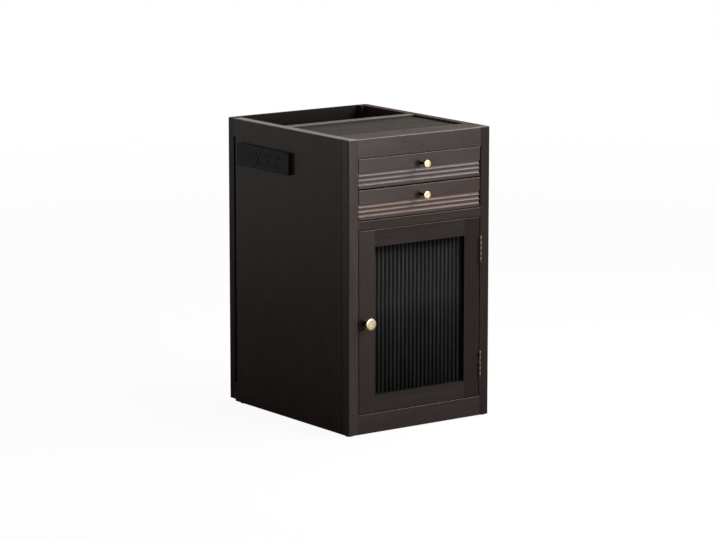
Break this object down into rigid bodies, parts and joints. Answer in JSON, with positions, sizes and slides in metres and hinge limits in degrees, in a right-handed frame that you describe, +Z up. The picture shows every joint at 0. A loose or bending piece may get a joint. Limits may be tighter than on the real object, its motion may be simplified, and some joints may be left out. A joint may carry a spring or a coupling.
{
  "type": "side cabinet",
  "caption": "Tall narrow wooden side cabinet: shallow drawers with fluted fronts over a fluted glass door, tray top, open rear well, side socket strip",
  "frame": {"origin": "on the floor, under the middle of the whole object's box, knobs and socket strip included", "axes": "+Z up, front face towards -Y, socket strip on the -X side, door hinge on the +X side"},
  "size_m": [0.363, 0.451, 0.6],
  "materials": {
    "espresso_wood": "satin lacquered dark stained wood",
    "back_board": "dark coated thin board",
    "box_wood": "pale solid wood, clear lacquer",
    "box_ply": "thin plywood",
    "fluted_glass": "dark fluted glass",
    "satin_brass": "pale satin brass",
    "hinge_metal": "satin nickel",
    "slide_steel": "zinc plated steel",
    "screw_steel": "zinc plated steel",
    "black_plastic": "matt black moulded plastic",
    "insert_plastic": "matt black moulded plastic",
    "contact_brass": "stamped brass",
    "catch_plastic": "brown moulded plastic",
    "magnet": "dull ferrite",
    "glide_plastic": "hard plastic"
  },
  "bodies": {
    "root": {"back_panel": "back_board", "back_panel_screws": "screw_steel", "bottom_front_rail": "espresso_wood", "bottom_panel": "espresso_wood", "cabinet_screws": "screw_steel", "carcass_dowels": "box_wood", "catch_housing": "catch_plastic", "catch_magnet": "magnet", "divider_panel": "espresso_wood", "floor_glides": "glide_plastic", "hinge_frame_leaves": "hinge_metal", "hinge_pins": "hinge_metal", "left_front_stile": "espresso_wood", "left_side_panel": "espresso_wood", "middle_front_rail": "espresso_wood", "middle_panel": "espresso_wood", "power_inlet": "black_plastic", "rear_bottom_rail": "espresso_wood", "rear_posts": "espresso_wood", "right_front_stile": "espresso_wood", "right_side_panel": "espresso_wood", "shelf": "espresso_wood", "shelf_pins": "slide_steel", "slide_cabinet_members": "slide_steel", "slide_packing_strips": "box_wood", "socket_bus_bars": "contact_brass", "socket_cover": "black_plastic", "socket_housing": "black_plastic", "socket_inserts": "insert_plastic", "socket_screws": "screw_steel", "top_front_board": "espresso_wood", "top_front_rail": "espresso_wood", "tray_board": "espresso_wood", "usb_ports": "black_plastic"},
    "door": {"catch_strike_plate": "slide_steel", "door_bottom_rail": "espresso_wood", "door_glass": "fluted_glass", "door_glass_beads": "espresso_wood", "door_knob": "satin_brass", "door_left_stile": "espresso_wood", "door_right_stile": "espresso_wood", "door_screws": "screw_steel", "door_top_rail": "espresso_wood", "hinge_door_leaves": "hinge_metal"},
    "lower_drawer": {"lower_drawer_back": "box_wood", "lower_drawer_bottom": "box_ply", "lower_drawer_front": "espresso_wood", "lower_drawer_knob": "satin_brass", "lower_drawer_screws": "screw_steel", "lower_drawer_sides": "box_wood", "lower_slide_drawer_members": "slide_steel"},
    "lower_middle_members": {"lower_slide_middle_members": "slide_steel"},
    "upper_drawer": {"upper_drawer_back": "box_wood", "upper_drawer_bottom": "box_ply", "upper_drawer_front": "espresso_wood", "upper_drawer_knob": "satin_brass", "upper_drawer_screws": "screw_steel", "upper_drawer_sides": "box_wood", "upper_slide_drawer_members": "slide_steel"},
    "upper_middle_members": {"upper_slide_middle_members": "slide_steel"}
  },
  "joints": [
    {"name": "door_hinge", "type": "hinge", "parent": "root", "child": "door", "pos_m": [0.15675, -0.203, 0.2298], "axis": [0, 0, 1], "range_deg": [0, 170]},
    {"name": "upper_drawer_slide", "type": "slide", "parent": "root", "child": "upper_drawer", "axis": [0, -1, 0], "range_m": [0, 0.18]},
    {"name": "upper_middle_slide", "type": "slide", "parent": "root", "child": "upper_middle_members", "axis": [0, -1, 0], "range_m": [0, 0.09]},
    {"name": "lower_drawer_slide", "type": "slide", "parent": "root", "child": "lower_drawer", "axis": [0, -1, 0], "range_m": [0, 0.18]},
    {"name": "lower_middle_slide", "type": "slide", "parent": "root", "child": "lower_middle_members", "axis": [0, -1, 0], "range_m": [0, 0.09]}
  ],
  "couplings": [
    {"joint": "upper_middle_slide", "follows": "upper_drawer_slide", "ratio": 0.5},
    {"joint": "lower_middle_slide", "follows": "lower_drawer_slide", "ratio": 0.5}
  ]
}
